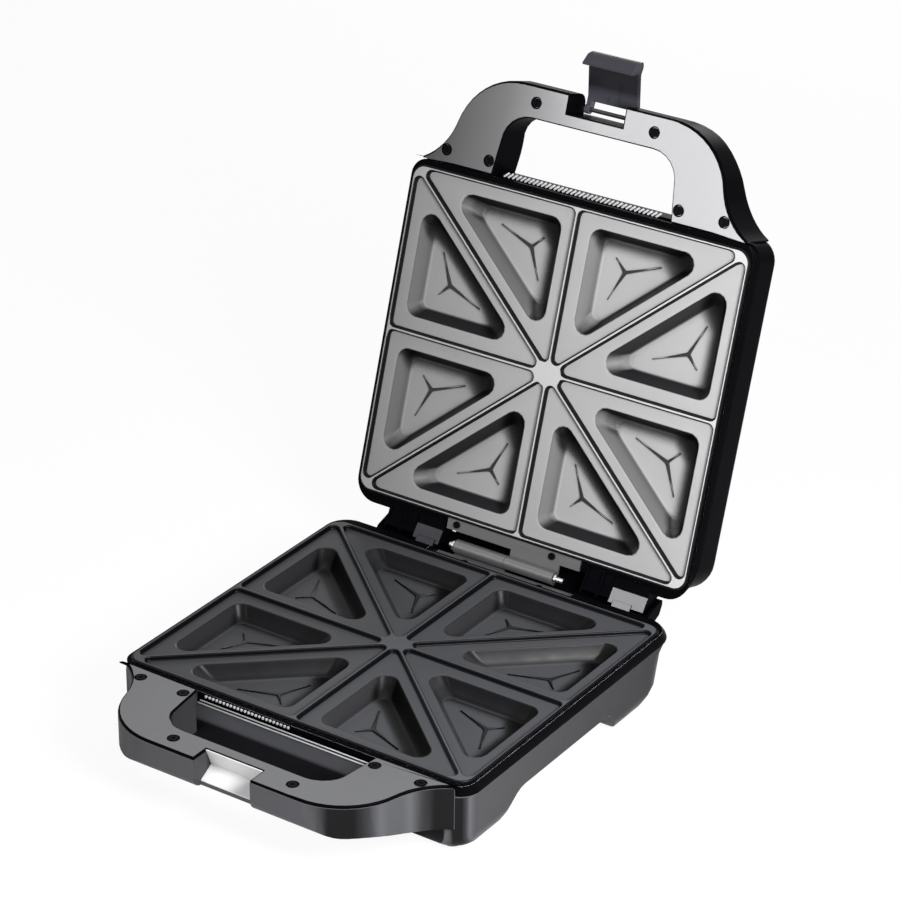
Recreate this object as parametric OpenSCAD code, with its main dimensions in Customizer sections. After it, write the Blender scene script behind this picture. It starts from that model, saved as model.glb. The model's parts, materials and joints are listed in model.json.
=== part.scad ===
// Sandwich toaster with a hinged lid, two identical cooking plates with eight
// triangular pockets each, a carrying handle on each half and a swinging latch.
// Millimetres. X runs left to right, Y from the handle to the hinge, Z up.
// Everything is first laid out with the lid shut: plate centre at X 0, Y 0 and the
// rib tops of the lower plate at Z 0. The lid and the latch are then turned to rest.

/* [Cooking plates] */
// Width of both cooking plates
plate_w = 264; // [220:1:320]
// Depth of both cooking plates from handle to hinge
plate_d = 231; // [190:1:280]
// Corner radius of the plates
plate_corner_r = 10; // [6:1:16]
// Height of the plate edge
plate_edge_h = 6; // [5:0.5:8]
// Height of the ribs above the flat lands
rib_h = 3; // [2:0.5:3.5]
// Width of the ribs between the lands
rib_w = 2.8; // [2:0.2:4]
// Width of the border rib round the plate
border_w = 3; // [2:0.5:5]
// Depth of the triangular pockets below the lands
well_depth = 11; // [6:0.5:12]
// Distance from the plate edge to the pockets
well_edge = 12; // [9:0.5:16]
// Distance from the centre lines to the pockets
well_axis_gap = 11.4; // [9:0.2:15]
// Distance from the diagonals to the pockets
well_diag_gap = 9; // [7:0.5:12]
// Corner radius of the pockets
well_corner_r = 8; // [5:0.5:10]
// Metal thickness of the plates
plate_t = 2.5; // [2:0.25:3]
// Gap between the rib tops of the two plates with the lid shut
plate_gap = 1; // [0.6:0.1:2]

/* [Housings] */
// Wall thickness of the lower housing
base_wall = 2.8; // [2:0.2:3.4]
// Wall thickness of the lid housing
lid_wall = 2.2; // [1.8:0.2:3]
// How far the housings stand out beyond the plate sides
side_margin = 3; // [3:0.5:6]
// Level of the underside of the lower housing between the feet
belly_z = 30; // [30:1:34]
// Level of the underside of the housing feet
foot_z = 48; // [44:1:56]
// Thickness of the rubber pads below the housing feet
pad_h = 2; // [1.5:0.5:4]
// Height of the lid housing above the plate joint
lid_h = 39; // [38:1:50]
// Rounding of the upper edge of the lid
lid_edge_r = 9; // [5:1:12]

/* [Handles] */
// Reach of the handles in front of the plates
handle_reach = 70.5; // [64:0.5:90]
// How far the sides of the handles lie inside the plate sides
handle_inset = 26.2; // [20:0.2:34]
// Thickness of the handles at the grip
handle_t = 23; // [22:0.5:28]
// Thickness of the handles at the housing
handle_root_t = 31; // [31:0.5:34]
// Depth of the grip bar between the handle front and the finger opening
grip_bar = 22; // [20:0.5:30]
// Half width of the finger opening at its front
opening_half = 67; // [50:1:75]
// Corner radius of the finger opening
opening_r = 20; // [8:1:24]
// Thickness of the flat handle covers
cover_t = 2; // [1.6:0.2:3]
// Half width of the notch for the latch
notch_half = 21.7; // [20:0.1:30]
// Depth of the notch for the latch
notch_depth = 13.5; // [13.5:0.5:15]

/* [Hinge] */
// Height of the hinge line below the lower rib tops
hinge_drop = 1.66; // [1:0.01:3]
// Distance of the hinge line behind the plates
hinge_back = 17.2; // [16.5:0.1:22]
// Radius of the rolled hinge knuckles
knuckle_r = 4.75; // [4:0.25:5]
// Diameter of the hinge pin
hinge_pin_d = 4; // [3:0.5:5]
// Running clearance of the pins in the parts that turn on them
pin_fit = 0.06; // [0.02:0.01:0.1]
// Angle from shut to the open stop
open_angle = 107.16; // [95:0.01:110]

/* [Latch] */
// Half width of the latch
latch_half = 19; // [15:0.5:20]
// Diameter of the latch pin
latch_pin_d = 3; // [2.5:0.5:4]
// Angle of the latch in the lid from hanging straight down to rest
latch_rest = 72.6; // [60:0.1:80]

/* [Hidden] */
$fn = 40;
hw = plate_w / 2;
hd = plate_d / 2;
body_half = hw + side_margin;
rim_z = -9;
bezel_top = -1.5;
front_y = -hd - 5.5;
rear_y = hd + 15.5;
bezel_rear = hd + 7.5;
handle_front = -hd - handle_reach;
cover_rear = -hd - 4.2;
land_z = -rib_h;
floor_z = land_z - well_depth;
under_z = floor_z - plate_t;
hinge_y = hd + hinge_back;
hinge_z = -hinge_drop;
knuckle_gap = 0.3;
corner_front = 15;
corner_rear = 24;

// S shaped handle side: a round corner of radius bend_r runs into a flare of radius flare_r
bend_r = 48;
flare_r = 45.3;
flare_turn = 14;
bend_c = [hw - handle_inset - bend_r, handle_front + bend_r];
flare_c = bend_c + (bend_r + flare_r) * [cos(flare_turn), -sin(flare_turn)];

// finger opening
open_front = handle_front + grip_bar;
open_widen = 3.5;

// latch and catch
latch_y = handle_front + 9.5;
latch_z = plate_gap + 20.3;
latch_t = 4;
latch_back = 2;
head_out = 9;
catch_top = [handle_front + 12.6, -0.4];
catch_deep = [handle_front + 17.7, -13];
catch_low = [handle_front + 7.2, -19.3];
catch_t = 0.8;
latch_len = latch_z - catch_low[1] - 1.8;

// plate fixing points and heating element
boss_x = 0.644 * hw;
boss_y = 0.606 * hd;
boss_r = 4.5;
tube_r = 3.3;
ring_x = 0.47 * hw;
ring_y = 0.416 * hd;
bend_tube = 22;
tube_z = under_z - 0.1 - tube_r;
bar_t = 1.5;
bar_top = tube_z - tube_r - 0.1;
shield_t = 0.8;
tag_t = 0.4;
shield_top = bar_top - bar_t - 0.4;
shell_floor = -belly_z + base_wall;
lid_inner = lid_h - lid_wall;
screw_d = 3;
plate_screw_d = 4;

// the placed object: bottom of the pads at Z 0 and the box centred on X and Y
open_turn = -open_angle;
function opened(p) = [
    hinge_y + (p[0] - hinge_y) * cos(open_turn) - (p[1] - hinge_z) * sin(open_turn),
    hinge_z + (p[0] - hinge_y) * sin(open_turn) + (p[1] - hinge_z) * cos(open_turn)];
latch_at = opened([latch_y, latch_z]);
latch_turn = open_turn - latch_rest;
far_y = latch_at[0] - head_out * cos(latch_turn) + (latch_len - 4.3) * sin(latch_turn);
shift_y = -(handle_front + far_y) / 2;
shift_z = foot_z + pad_h;

black = [0.09, 0.09, 0.10];
dark = [0.16, 0.16, 0.17];
body_grey = [0.25, 0.25, 0.27];
face_grey = [0.40, 0.40, 0.42];
silver = [0.80, 0.80, 0.82];
plate_grey = [0.55, 0.55, 0.56];
lower_grey = [0.34, 0.34, 0.36];
steel = [0.62, 0.62, 0.64];
bright = [0.86, 0.86, 0.88];
brass = [0.72, 0.58, 0.28];
ceramic = [0.85, 0.83, 0.78];
red = [0.75, 0.10, 0.08];
green = [0.15, 0.60, 0.20];

// points of an arc from angle a0 to a1
function arc(c, r, a0, a1, n) = [for (i = [0:n]) c + r * [cos(a0 + (a1 - a0) * i / n), sin(a0 + (a1 - a0) * i / n)]];
// smooth step from 0 to 1
function ease(u) = (1 - cos(180 * min(1, max(0, u)))) / 2;
function mirrored(list) = [for (i = [len(list) - 1:-1:0]) [-list[i][0], list[i][1]]];
// rectangle with one radius for its front corners and another for its rear corners
function frame_ring(half, y0, y1, rf, rr) = concat(
    arc([half - rf, y0 + rf], rf, -90, 0, 8),
    arc([half - rr, y1 - rr], rr, 0, 90, 8),
    arc([-half + rr, y1 - rr], rr, 90, 180, 8),
    arc([-half + rf, y0 + rf], rf, 180, 270, 8));

// triangle helpers
function peri(t) = norm(t[1] - t[2]) + norm(t[2] - t[0]) + norm(t[0] - t[1]);
function incentre(t) = (norm(t[1] - t[2]) * t[0] + norm(t[2] - t[0]) * t[1] + norm(t[0] - t[1]) * t[2]) / peri(t);
function area2(t) = abs((t[1][0] - t[0][0]) * (t[2][1] - t[0][1]) - (t[2][0] - t[0][0]) * (t[1][1] - t[0][1]));
function inradius(t) = area2(t) / peri(t);
function inset_tri(t, d) = [for (p = t) incentre(t) + (p - incentre(t)) * (1 - d / inradius(t))];
function heading(a, b) = atan2(b[1] - a[1], b[0] - a[0]);
function turn(a, b) = (b - a + 720) % 360;
function round_tri(t, d, r, n = 5) = let (s = inset_tri(t, d + r)) [for (k = [0:2])
    let (h0 = heading(t[(k + 2) % 3], t[k]) - 90, sweep = turn(h0, heading(t[k], t[(k + 1) % 3]) - 90))
    for (i = [0:n]) s[k] + r * [cos(h0 + sweep * i / n), sin(h0 + sweep * i / n)]];

// corner points of the region beside the right edge and of the region beside the rear edge,
// e inside the edge, a from the centre line and g from the diagonal
slope = hd / hw;
diag = sqrt(1 + slope * slope);
function side_tri(e, a, g) = [[(a + g * diag) / slope, a], [hw - e, a], [hw - e, (hw - e) * slope - g * diag]];
function back_tri(e, a, g) = [[a, a * slope + g * diag], [(hd - e - g * diag) / slope, hd - e], [a, hd - e]];
well_tris = [side_tri(well_edge, well_axis_gap, well_diag_gap), back_tri(well_edge, well_axis_gap, well_diag_gap)];
land_tris = [side_tri(border_w, rib_w / 2, rib_w / 2), back_tri(border_w, rib_w / 2, rib_w / 2)];

// handle outline, t inside the outer edge; tip widens its rear ends
function handle_side(t, tip) = let (
    y_end = cover_rear - 1,
    a_end = 180 - asin((y_end - flare_c[1]) / (flare_r + t)),
    x_end = flare_c[0] + (flare_r + t) * cos(a_end))
    concat(
        arc(bend_c, bend_r - t, -90, -flare_turn, 10),
        arc(flare_c, flare_r + t, 180 - flare_turn, a_end, 8),
        tip ? [[body_half - 2.5, cover_rear - 0.8]] : [],
        [[tip ? body_half - 2.5 : x_end, cover_rear - t]]);
function handle_outline(t, tip = false) = concat(handle_side(t, tip), mirrored(handle_side(t, tip)));
function opening_side(t) = concat(
    arc([opening_half - opening_r, open_front + opening_r], opening_r + t, -90, 0, 6),
    [[opening_half + open_widen + t, cover_rear + 3]]);
function opening_outline(t) = concat(opening_side(t), mirrored(opening_side(t)));
// underside of the handle seen from the side, t inside the skin
function handle_profile(t) = let (ya = handle_front + 12, yb = cover_rear - 10, r = 8) concat(
    [[handle_front + t, 4]],
    arc([handle_front + r, r - handle_t], r - t, 180, 270, 5),
    [for (i = [0:8]) [ya + (yb - ya) * i / 8, t - handle_t - (handle_root_t - handle_t) * ease(i / 8)]],
    [[cover_rear - t, t - handle_root_t], [cover_rear - t, 4]]);
cover_screw_at = [for (s = [-1, 1]) each [
    [s * (hw - 23.9), -hd - 13.7],
    [s * (opening_half + 7), -hd - 13.5],
    [s * 45.7, handle_front + 11.4]]];
back_notch = handle_front + notch_depth;

// solid between outlines at rising levels; every ring has the same number of points
module loft(rings) {
    n = len(rings[0][1]);
    m = len(rings);
    polyhedron(
        points = [for (g = rings) for (p = g[1]) [p[0], p[1], g[0]]],
        faces = concat(
            [[for (i = [0:n - 1]) i]],
            [[for (i = [n - 1:-1:0]) (m - 1) * n + i]],
            [for (k = [0:m - 2]) for (i = [0:n - 1]) [k * n + i, (k + 1) * n + i, (k + 1) * n + (i + 1) % n, k * n + (i + 1) % n]]));
}
// side view outline pushed across the object
module across(half) {
    translate([-half, 0, 0]) rotate([90, 0, 90]) linear_extrude(height = 2 * half) children();
}
module slab(z0, z1, half, y0, y1, rf, rr) {
    translate([0, 0, z0]) linear_extrude(height = z1 - z0) polygon(frame_ring(half, y0, y1, rf, rr));
}
module peg(p, r, z0, z1) {
    translate([p[0], p[1], z0]) cylinder(h = z1 - z0, r = r);
}
// the lid parts are drawn like the lower ones and turned over onto the plate joint
module flip() {
    translate([0, 0, plate_gap]) mirror([0, 0, 1]) children();
}
module place_base() {
    translate([0, shift_y, shift_z]) children();
}
module place_lid() {
    translate([0, shift_y + hinge_y, shift_z + hinge_z]) rotate([open_turn, 0, 0])
        translate([0, -hinge_y, -hinge_z]) children();
}
module quarters() {
    for (sx = [0, 1], sy = [0, 1]) mirror([sx, 0, 0]) mirror([0, sy, 0]) children();
}
module pair() {
    for (s = [0, 1]) mirror([s, 0, 0]) children();
}
// cross head screw standing in Z with its head seat at Z 0
module screw(d, head_d, head_h, length) {
    difference() {
        union() {
            cylinder(h = head_h, d = head_d);
            translate([0, 0, -length]) cylinder(h = length + 0.1, d = d);
        }
        for (a = [0, 90]) rotate([0, 0, a]) translate([-head_d * 0.32, -0.4, head_h * 0.4])
            cube([head_d * 0.64, 0.8, head_h]);
    }
}

// depth share, inset
well_steps = [[1, 7.5], [0.9, 5.6], [0.6, 3.2], [0.18, 0.8], [0, 0]];
function well_ring(t, s, out) = [land_z - s[0] * well_depth - out,
    round_tri(t, s[1] - out, max(well_corner_r - 0.4 * s[1], 3) + out)];
module well_cut(t) {
    loft(concat([for (s = well_steps) well_ring(t, s, 0)], [[land_z + 1, round_tri(t, 0, well_corner_r)]]));
}
module well_body(t) {
    loft(concat([for (s = well_steps) well_ring(t, s, plate_t)], [[land_z - 0.6, round_tri(t, -plate_t, well_corner_r + plate_t)]]));
}
// three tapered rays from the middle of a pocket floor towards its corners
ray_w = 0.9;
function ray_star(t) = let (c = incentre(t)) [for (k = [0:2]) each let (
    v = t[k] - c,
    u = v / norm(v),
    w = t[(k + 1) % 3] - c,
    m = u + w / norm(w))
    [c + u * (norm(v) * 0.44 - 4), c + m / norm(m) * ray_w]];
module plate() {
    difference() {
        union() {
            slab(-plate_edge_h, -0.7, hw, -hd, hd, plate_corner_r, plate_corner_r);
            slab(-1, 0, hw - 0.6, -hd + 0.6, hd - 0.6, plate_corner_r - 0.6, plate_corner_r - 0.6);
            quarters() for (t = well_tris) well_body(t);
            for (s = [-1, 1]) {
                peg([s * boss_x, 0], boss_r, bar_top, -plate_edge_h + 1);
                peg([0, s * boss_y], boss_r, bar_top - bar_t, -plate_edge_h + 1);
            }
        }
        quarters() {
            for (t = land_tris) translate([0, 0, land_z]) linear_extrude(height = rib_h + 1) polygon(round_tri(t, 0, 3.8));
            for (t = well_tris) well_cut(t);
        }
        for (s = [-1, 1]) {
            peg([s * boss_x, 0], plate_screw_d / 2, bar_top - 1, bar_top + 10);
            peg([0, s * boss_y], plate_screw_d / 2, bar_top - 5, bar_top + 10);
        }
    }
    quarters() for (t = well_tris) translate([0, 0, floor_z - 0.1]) linear_extrude(height = 0.9) polygon(ray_star(t));
}

// heating tube: a rounded loop lying under the pockets, its two ends led out to one side
tail_y = 9;
tail_x = ring_x + 36;
module tube(a, b) {
    d = b - a;
    translate([a[0], a[1], tube_z]) rotate([0, 90, heading(a, b)]) cylinder(h = norm(d), r = tube_r);
}
module bend(c, r, a0) {
    translate([c[0], c[1], tube_z]) rotate([0, 0, a0]) rotate_extrude(angle = 90) translate([r, 0]) circle(r = tube_r);
}
module element() {
    r = bend_tube;
    s = 9;
    for (m = [0, 1]) mirror([0, m, 0]) {
        bend([ring_x - r, ring_y - r], r, 0);
        bend([-ring_x + r, ring_y - r], r, 90);
        tube([-ring_x + r, ring_y], [ring_x - r, ring_y]);
        tube([-ring_x, -0.05], [-ring_x, ring_y - r]);
        tube([ring_x, tail_y + s], [ring_x, ring_y - r]);
        bend([ring_x + s, tail_y + s], s, 180);
        tube([ring_x + s, tail_y], [tail_x, tail_y]);
        translate([tail_x - 0.1, tail_y, tube_z]) rotate([0, 90, 0]) cylinder(h = 7, r = 1.6);
        translate([tail_x + 5, tail_y - 3, tube_z - 0.4]) cube([9, 6, 0.8]);
    }
}
// sheet bar that holds the tube against the plate, bolted under two bosses
module clamp_bar() {
    difference() {
        translate([-boss_x - 9, -7, bar_top - bar_t]) cube([2 * boss_x + 18, 14, bar_t]);
        for (s = [-1, 1]) peg([s * boss_x, 0], plate_screw_d / 2, bar_top - 5, bar_top + 1);
    }
}
pan_half = hw - 14;
pan_deep = hd - 15;
// sheet pan under the heating tube with turned edge and holes for the fixing points
module pan(z_top, t, lip, hole) {
    difference() {
        slab(z_top - t, z_top + lip, pan_half, -pan_deep, pan_deep, 14, 14);
        slab(z_top, z_top + lip + 1, pan_half - t, -pan_deep + t, pan_deep - t, 14 - t, 14 - t);
        for (s = [-1, 1]) {
            peg([s * boss_x, 0], hole, z_top - 5, z_top + 5);
            peg([0, s * boss_y], hole, z_top - 5, z_top + 5);
        }
    }
}

module cover_plate() {
    difference() {
        translate([0, 0, -cover_t]) linear_extrude(height = cover_t) polygon(handle_outline(0.6, true));
        translate([0, 0, -9]) linear_extrude(height = 20) polygon(opening_outline(-0.2));
        translate([-notch_half, handle_front - 9, -9]) cube([2 * notch_half, notch_depth + 9, 20]);
        for (p = cover_screw_at) {
            peg(p, screw_d / 2, -9, 9);
            peg(p, 3.3, -1.2, 9);
        }
    }
}
module cover_screws() {
    for (p = cover_screw_at) translate([p[0], p[1], -1.2]) screw(screw_d, 6, 1.4, 9);
}
// hollow handle skirt with screw posts and a solid middle block
module handle_skirt(wall) {
    difference() {
        intersection() {
            translate([0, 0, -60]) linear_extrude(height = 60 - cover_t) polygon(handle_outline(0));
            across(hw) polygon(handle_profile(0));
        }
        difference() {
            intersection() {
                translate([0, 0, -60]) linear_extrude(height = 70) polygon(handle_outline(wall));
                across(hw) polygon(handle_profile(wall));
            }
            translate([0, 0, -60]) linear_extrude(height = 70) polygon(opening_outline(wall));
            translate([-notch_half - 5, handle_front - 9, -60]) cube([2 * notch_half + 10, 60, 70]);
            for (p = cover_screw_at) peg(p, 3.8, -60, 9);
        }
        translate([0, 0, -60]) linear_extrude(height = 70) polygon([for (p = opening_outline(0)) [p[0], min(p[1], front_y + 0.5)]]);
        translate([0, 0, rim_z]) linear_extrude(height = 20) polygon(opening_outline(0));
        for (p = cover_screw_at) peg(p, screw_d / 2, -cover_t - 10, 9);
    }
}

module rear_edge_cut() {
    translate([-58, hd + 2.5, -7.8]) cube([116, 40, 40]);
}
// frame between a plate and its housing, front and rear edges given at both levels
module bezel(rear_top, rear_low) {
    difference() {
        loft([
            [rim_z, frame_ring(body_half, cover_rear + 0.2, rear_low, corner_front, corner_rear - 2)],
            [-6, frame_ring(body_half - 0.2, cover_rear + 0.2, rear_low + (rear_top - rear_low) * 0.42, corner_front, corner_rear - 5)],
            [bezel_top, frame_ring(body_half - 1.4, cover_rear + 0.2, rear_top, plate_corner_r + 2, plate_corner_r + 6)]]);
        slab(-plate_edge_h, 9, hw + 0.3, -hd - 0.3, hd + 0.3, plate_corner_r + 0.3, plate_corner_r + 0.3);
        slab(-20, 9, hw - 5, -hd + 5, hd - 5, plate_corner_r, plate_corner_r);
    }
}

// rings of the lower housing: height above the sole, side inset, front inset, rear inset
base_levels = [[0, 8, 5, 35], [1.5, 4.5, 2.4, 28.5], [4, 2, 0.8, 22.5], [8, 0.4, 0.2, 17], [12, 0, 0, 13]];
function base_ring(z, s, t) = [z, frame_ring(body_half - s[1] - t, front_y + s[2] + t, rear_y - s[3] - t, corner_front - t, corner_rear - t)];
module bowl(t) {
    loft(concat(
        [for (s = base_levels) base_ring(s[0] - foot_z + t, s, t)],
        [base_ring(-15, [0, 0, 0, 7], t)],
        [base_ring(t > 0 ? rim_z + 1 : rim_z, [0, 0, 0, t > 0 ? -0.9 : 0], t)]));
}
foot_rise = foot_z - belly_z;
function s_curve(a, b, t) = [for (i = [0:8]) [a + (b - a) * i / 8, t - foot_z + foot_rise * ease(i / 8)]];
side_arch = [-hd + 25.5, -hd + 61.5, hd - 71.5, hd - 55.5];
rear_arch = [hw - 40, hw - 58];
rear_arch_y = side_arch[0];
function reversed(list) = [for (i = [len(list) - 1:-1:0]) list[i]];
module arches(t) {
    across(hw + 40) polygon(concat(
        [[side_arch[0] - t, -90]], s_curve(side_arch[0] - t, side_arch[1] - t, t),
        reversed(s_curve(side_arch[3] + t, side_arch[2] + t, t)), [[side_arch[3] + t, -90]]));
    translate([0, 2 * hd, 0]) rotate([90, 0, 0]) linear_extrude(height = 2 * hd - rear_arch_y + t) polygon(concat(
        [[-rear_arch[0] - t, -90]], s_curve(-rear_arch[0] - t, -rear_arch[1] - t, t),
        reversed(s_curve(rear_arch[0] + t, rear_arch[1] + t, t)), [[rear_arch[0] + t, -90]]));
}
pad_at = [for (s = [-1, 1]) each [[s * (hw - 21), -hd + 8.5], [s * (hw - 21), hd - 33.5]]];
pad_long = 13;
pad_r = 7;
module pad(z0, z1, grow) {
    for (p = pad_at) translate([p[0], p[1], z0]) linear_extrude(height = z1 - z0) {
        square([2 * pad_long - 2 * pad_r, 2 * pad_r + 2 * grow], center = true);
        for (s = [-1, 1]) translate([s * (pad_long - pad_r), 0]) circle(r = pad_r + grow);
    }
}
gland_at = [-hw + 36, hd + 1.7, -26];
block_at = [-hw + 22, hd - 41.5];
block_size = [24, 18, 11];
leaf_screw_x = [-30, 30];
leaf_screw_y = hd + 6.5;

// notch with the slanted groove that takes the catch
module catch_notch() {
    across(notch_half) polygon([
        [handle_front - 9, 6], [back_notch, 6], [back_notch, catch_top[1]],
        [catch_deep[0] + catch_t, catch_deep[1]], [catch_low[0], catch_low[1] - catch_t],
        [catch_low[0], -60], [handle_front - 9, -60]]);
}
module base_shell() color(body_grey) place_base() {
    difference() {
        union() {
            difference() {
                bowl(0);
                arches(0);
                difference() {
                    bowl(base_wall);
                    arches(base_wall);
                }
            }
            handle_skirt(base_wall);
            // posts under the plate, each with a collar for the shield
            for (s = [-1, 1]) {
                peg([s * boss_x, 0], 4.5, shell_floor - 1, bar_top - bar_t - 0.1);
                peg([0, s * boss_y], 4.5, shell_floor - 1, bar_top - bar_t - (s > 0 ? tag_t : 0) - 0.1);
                peg([s * boss_x, 0], 8, shell_floor - 1, shield_top - shield_t);
                peg([0, s * boss_y], 8, shell_floor - 1, shield_top - shield_t);
            }
            // seat for the lead bushing
            translate(gland_at + [0, -1.8, 0]) rotate([-90, 0, 0]) cylinder(h = 8, r = 9.5);
            // block that carries the lower hinge leaf
            intersection() {
                translate([-56, hd - 2, -20]) cube([112, 18, 20 + rim_z]);
                bowl(0);
            }
        }
        for (s = [-1, 1]) {
            peg([s * boss_x, 0], plate_screw_d / 2 + 0.1, -foot_z, 0);
            peg([0, s * boss_y], plate_screw_d / 2 + 0.1, -foot_z, 0);
            peg([s * boss_x, 0], 4, -foot_z, -belly_z + 3);
            peg([0, s * boss_y], 4, -foot_z, -belly_z + 3);
        }
        for (x = leaf_screw_x) peg([x, leaf_screw_y], screw_d / 2, rim_z - 9, 0);
        place_guard_screws() cylinder(h = 16, r = screw_d / 2, center = true);
        pad(-foot_z - 1, -foot_z + 1, 0.1);
        translate(gland_at + [0, -9, 0]) rotate([-90, 0, 0]) {
            cylinder(h = 40, r = 6);
            cylinder(h = 7.2, r = 8.6);
            translate([0, 0, 15.2]) cylinder(h = 25, r = 7.7);
        }
        catch_notch();
    }
}
// guard behind the hinge barrel: a trough on the sloping rear wall, taller between the lobes of the lid
guard_half = 110;
guard_back_half = 54;
guard_t = 2.2;
guard_low = hinge_z - 1;
guard_high = hinge_z + 3.6;
wall_run = 7;
wall_turn = 180 + atan2(-rim_z - 3, wall_run);
function on_wall(u, out = 0) = [rear_y - wall_run * u, rim_z + (rim_z + 3) * u] + out * [-sin(wall_turn), cos(wall_turn)];
guard_under = [[hinge_y + 18, hinge_z - 4.2], [hinge_y + 14.4, hinge_z - 10.4], [hinge_y + 7.6, hinge_z - 13.4],
    [hinge_y + 0.5, hinge_z - 11.5], on_wall(0.12, guard_t), on_wall(0.83, guard_t), on_wall(0.83)];
guard_screw_x = [-90, -32, 32, 90];
module place_guard_screws() {
    for (x = guard_screw_x) translate([x, on_wall(0.5)[0], on_wall(0.5)[1]]) rotate([wall_turn, 0, 0]) children();
}
module guard_shape(x0, x1, inner) {
    translate([x0, 0, 0]) rotate([90, 0, 90]) linear_extrude(height = x1 - x0)
        polygon(concat([on_wall(0)], inner, [[hinge_y + 18.1, guard_low]], guard_under));
}
module hinge_guard() color(black) place_base() difference() {
    union() {
        guard_shape(-guard_half, guard_half, [[hinge_y - 0.7, hinge_z - 8], [hinge_y + 7, hinge_z - 10.8],
            [hinge_y + 12.4, hinge_z - 8.4], [hinge_y + 15.2, hinge_z - 3.6], [hinge_y + 15.6, guard_low]]);
        for (s = [-1, 1]) guard_shape(s * (guard_half - guard_t / 2) - guard_t / 2, s * (guard_half - guard_t / 2) + guard_t / 2,
            [[hinge_y + 2, hinge_z - 4.5], [hinge_y + 14, guard_low]]);
        across(guard_back_half) polygon([[hinge_y + 15.2, hinge_z - 3.6], [hinge_y + 15.6, guard_high - 0.8],
            [hinge_y + 16.3, guard_high], [hinge_y + 17.4, guard_high], [hinge_y + 18.1, guard_high - 0.8], [hinge_y + 18, hinge_z - 4.2]]);
    }
    place_guard_screws() cylinder(h = 30, r = screw_d / 2, center = true);
}
module guard_screws() color(dark) place_base() place_guard_screws() translate([0, 0, guard_t]) screw(screw_d, 5.4, 1.4, 4.8);
module base_bezel() color(black) place_base() difference() {
    bezel(bezel_rear, rear_y);
    rear_edge_cut();
    for (x = leaf_screw_x) peg([x, leaf_screw_y], screw_d / 2, -20, 0);
}
module base_handle_cover() color(face_grey) place_base() difference() {
    cover_plate();
    catch_notch();
}
module base_cover_screws() color(dark) place_base() cover_screws();
module catch_plate() color(bright) place_base() across(notch_half - 0.1) polygon([
    catch_top, catch_deep, catch_low, [catch_low[0], catch_low[1] - catch_t],
    [catch_deep[0] + catch_t, catch_deep[1]], [back_notch - 0.02, catch_top[1]]]);
module lower_plate() color(lower_grey) place_base() plate();
module lower_plate_screws() color(steel) place_base() for (s = [-1, 1]) {
    translate([s * boss_x, 0, -belly_z + 3]) mirror([0, 0, 1]) screw(plate_screw_d, 7.6, 2.4, 12);
    translate([0, s * boss_y, -belly_z + 3]) mirror([0, 0, 1]) screw(plate_screw_d, 7.6, 2.4, 11);
}
module lower_element() color(steel) place_base() element();
module lower_clamp_bar() color(steel) place_base() clamp_bar();
module heat_shield() color(steel) place_base() pan(shield_top, shield_t, 7, 5);
// disc thermostat bolted under the middle of the lower plate
module thermostat() color(ceramic) place_base() {
    peg([0, 0], 8.5, -plate_edge_h - 7, -plate_edge_h);
    peg([0, 0], 6, -plate_edge_h - 9, -plate_edge_h - 6);
    for (s = [-1, 1]) translate([s * 4 - 3, -0.4, -plate_edge_h - 15]) cube([6, 0.8, 7]);
}
module thermal_fuse() color(steel) place_base() translate([0, 22, -plate_edge_h - 2.5]) rotate([-90, 0, 0]) {
    cylinder(h = 22, r = 2.5);
    translate([0, 0, -6]) cylinder(h = 34, r = 0.6);
}
module terminal_block() color(ceramic) place_base() difference() {
    translate([block_at[0] - block_size[0] / 2, block_at[1] - block_size[1] / 2, -foot_z + base_wall])
        cube(block_size);
    for (x = [-8, 0, 8]) {
        peg(block_at + [x, 0], 1.5, -foot_z + base_wall + 5, 0);
        translate([block_at[0] + x, block_at[1] - 20, -foot_z + base_wall + 4]) rotate([-90, 0, 0])
            cylinder(h = 40, r = 1.8);
    }
}
module terminal_screws() color(brass) place_base() for (x = [-8, 0, 8])
    translate([block_at[0] + x, block_at[1], -foot_z + base_wall + block_size[2]]) screw(2.9, 4.2, 1.2, 8);
// tag on the rear plate boss for the protective conductor
module earth_tag() color(brass) place_base() difference() {
    translate([-5, boss_y - 5, bar_top - bar_t - tag_t]) cube([20, 10, tag_t]);
    peg([0, boss_y], plate_screw_d / 2, bar_top - 5, bar_top + 5);
}
module rubber_feet() color(black) place_base() pad(-foot_z - pad_h, -foot_z + 1, 0);
module cord_gland() color(black) place_base() translate(gland_at) rotate([-90, 0, 0]) difference() {
    union() {
        translate([0, 0, -3]) cylinder(h = 10, r = 5.95);
        translate([0, 0, -3.4]) cylinder(h = 1.6, r = 8.5);
        translate([0, 0, 6.2]) cylinder(h = 2.6, r = 7.6);
    }
    translate([0, 0, -9]) cylinder(h = 40, r = 3.6);
}

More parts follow.
